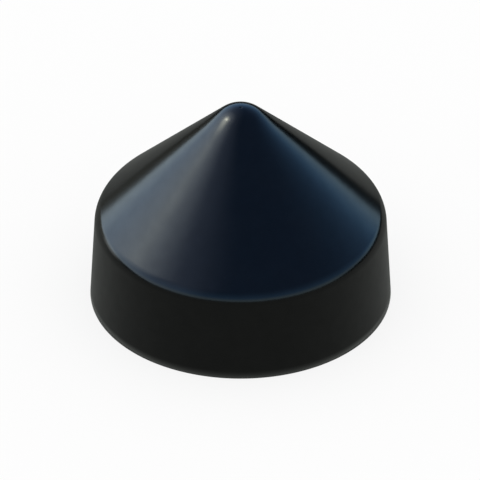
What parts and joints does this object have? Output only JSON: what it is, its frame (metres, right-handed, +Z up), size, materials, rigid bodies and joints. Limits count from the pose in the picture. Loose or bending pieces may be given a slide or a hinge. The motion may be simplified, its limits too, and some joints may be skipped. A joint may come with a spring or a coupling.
{
  "type": "pile cap",
  "caption": "Moulded black plastic cap for a round dock pile: drafted skirt, conical roof, rounded tip and eave, open underneath.",
  "frame": {"origin": "centre of the open foot, in the plane that the cap stands on", "axes": "+Z up along the axis of the cap, towards its tip"},
  "size_m": [0.2699, 0.2698, 0.203],
  "materials": {
    "black_polyethylene": "smooth moulded polyethylene, semi-gloss, with a fine moulded grain"
  },
  "bodies": {
    "root": {"pile_cap": "black_polyethylene"}
  },
  "joints": []
}
